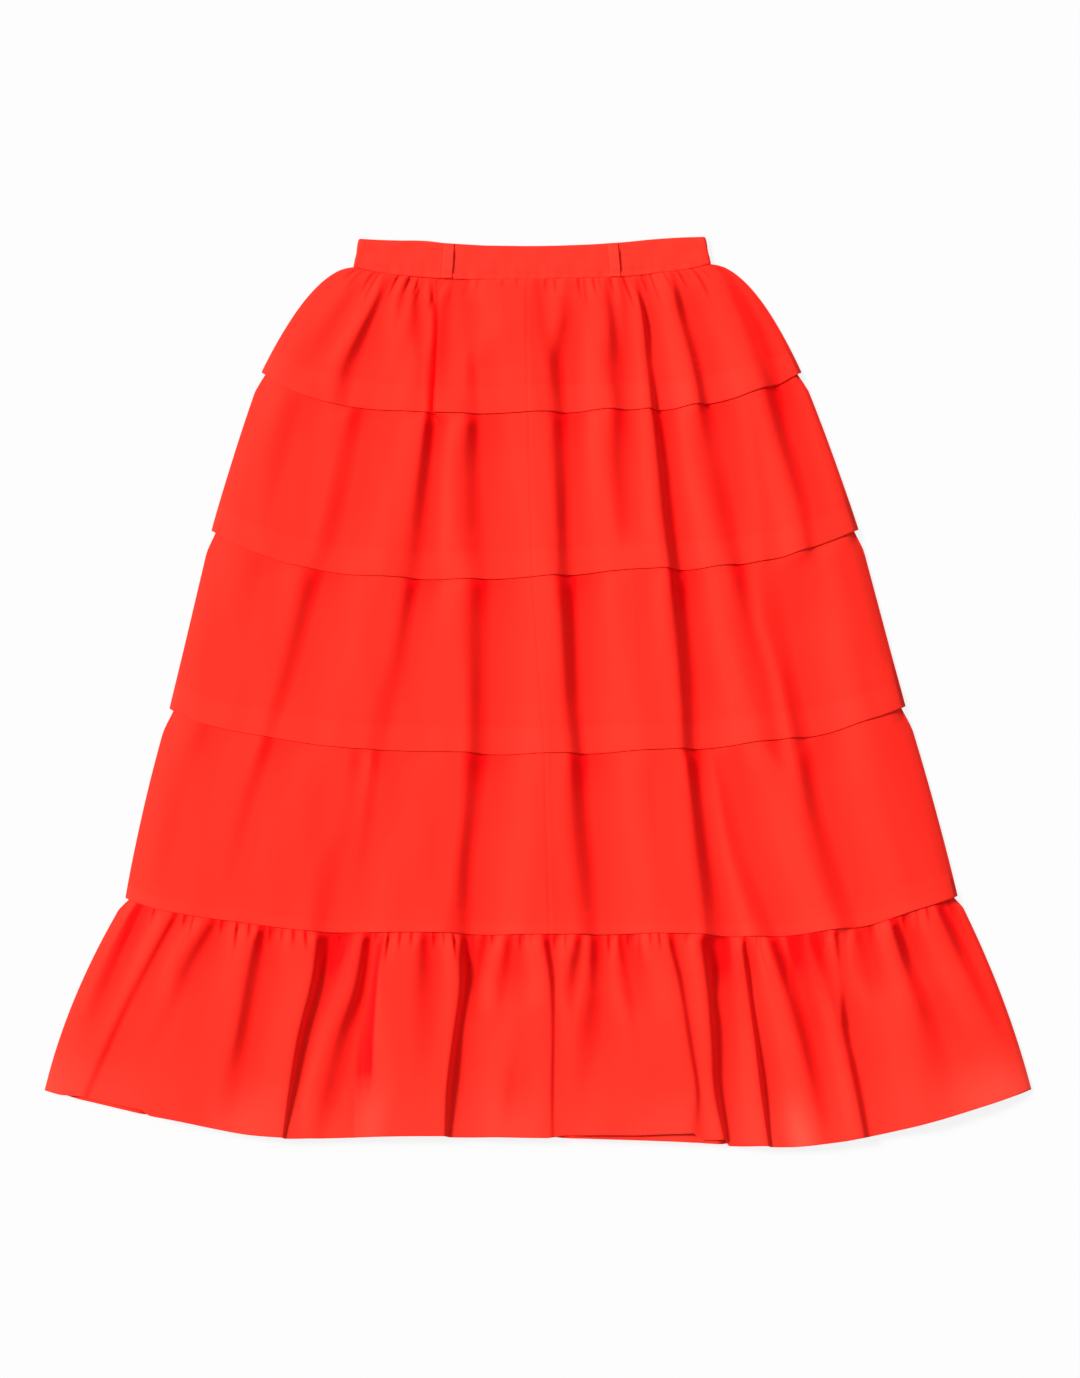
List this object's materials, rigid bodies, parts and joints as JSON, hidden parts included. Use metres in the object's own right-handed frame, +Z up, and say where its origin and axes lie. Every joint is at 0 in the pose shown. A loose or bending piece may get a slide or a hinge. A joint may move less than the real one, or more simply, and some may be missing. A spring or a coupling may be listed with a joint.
{
  "type": "tiered ruffle skirt laid flat",
  "caption": "Long gathered skirt in overlapping tiers with a wide ruffle at the hem, a narrow waistband and belt loops, laid flat on its back.",
  "frame": {"origin": "centre of the bounding box on the surface that the skirt lies on", "axes": "+X towards the side seam that is on the right when the laid skirt is seen from above, +Y towards the waistband, +Z up, out of the skirt's front"},
  "size_m": [0.9866, 0.9075, 0.0213],
  "materials": {
    "crepe_cloth": "matte lightweight crepe, bright orange red",
    "sewing_thread": "matte polyester sewing thread, red"
  },
  "bodies": {
    "root": {"waistband_front": "crepe_cloth", "waistband_back": "crepe_cloth", "belt_loop_left": "crepe_cloth", "belt_loop_right": "crepe_cloth", "tier1_front_left": "crepe_cloth", "tier1_front_right": "crepe_cloth", "tier1_back": "crepe_cloth", "tier2_front_left": "crepe_cloth", "tier2_front_right": "crepe_cloth", "tier2_back": "crepe_cloth", "tier3_front_left": "crepe_cloth", "tier3_front_right": "crepe_cloth", "tier3_back": "crepe_cloth", "tier4_front_left": "crepe_cloth", "tier4_front_right": "crepe_cloth", "tier4_back": "crepe_cloth", "ruffle_front_left": "crepe_cloth", "ruffle_front_right": "crepe_cloth", "ruffle_back": "crepe_cloth"}
  },
  "joints": []
}
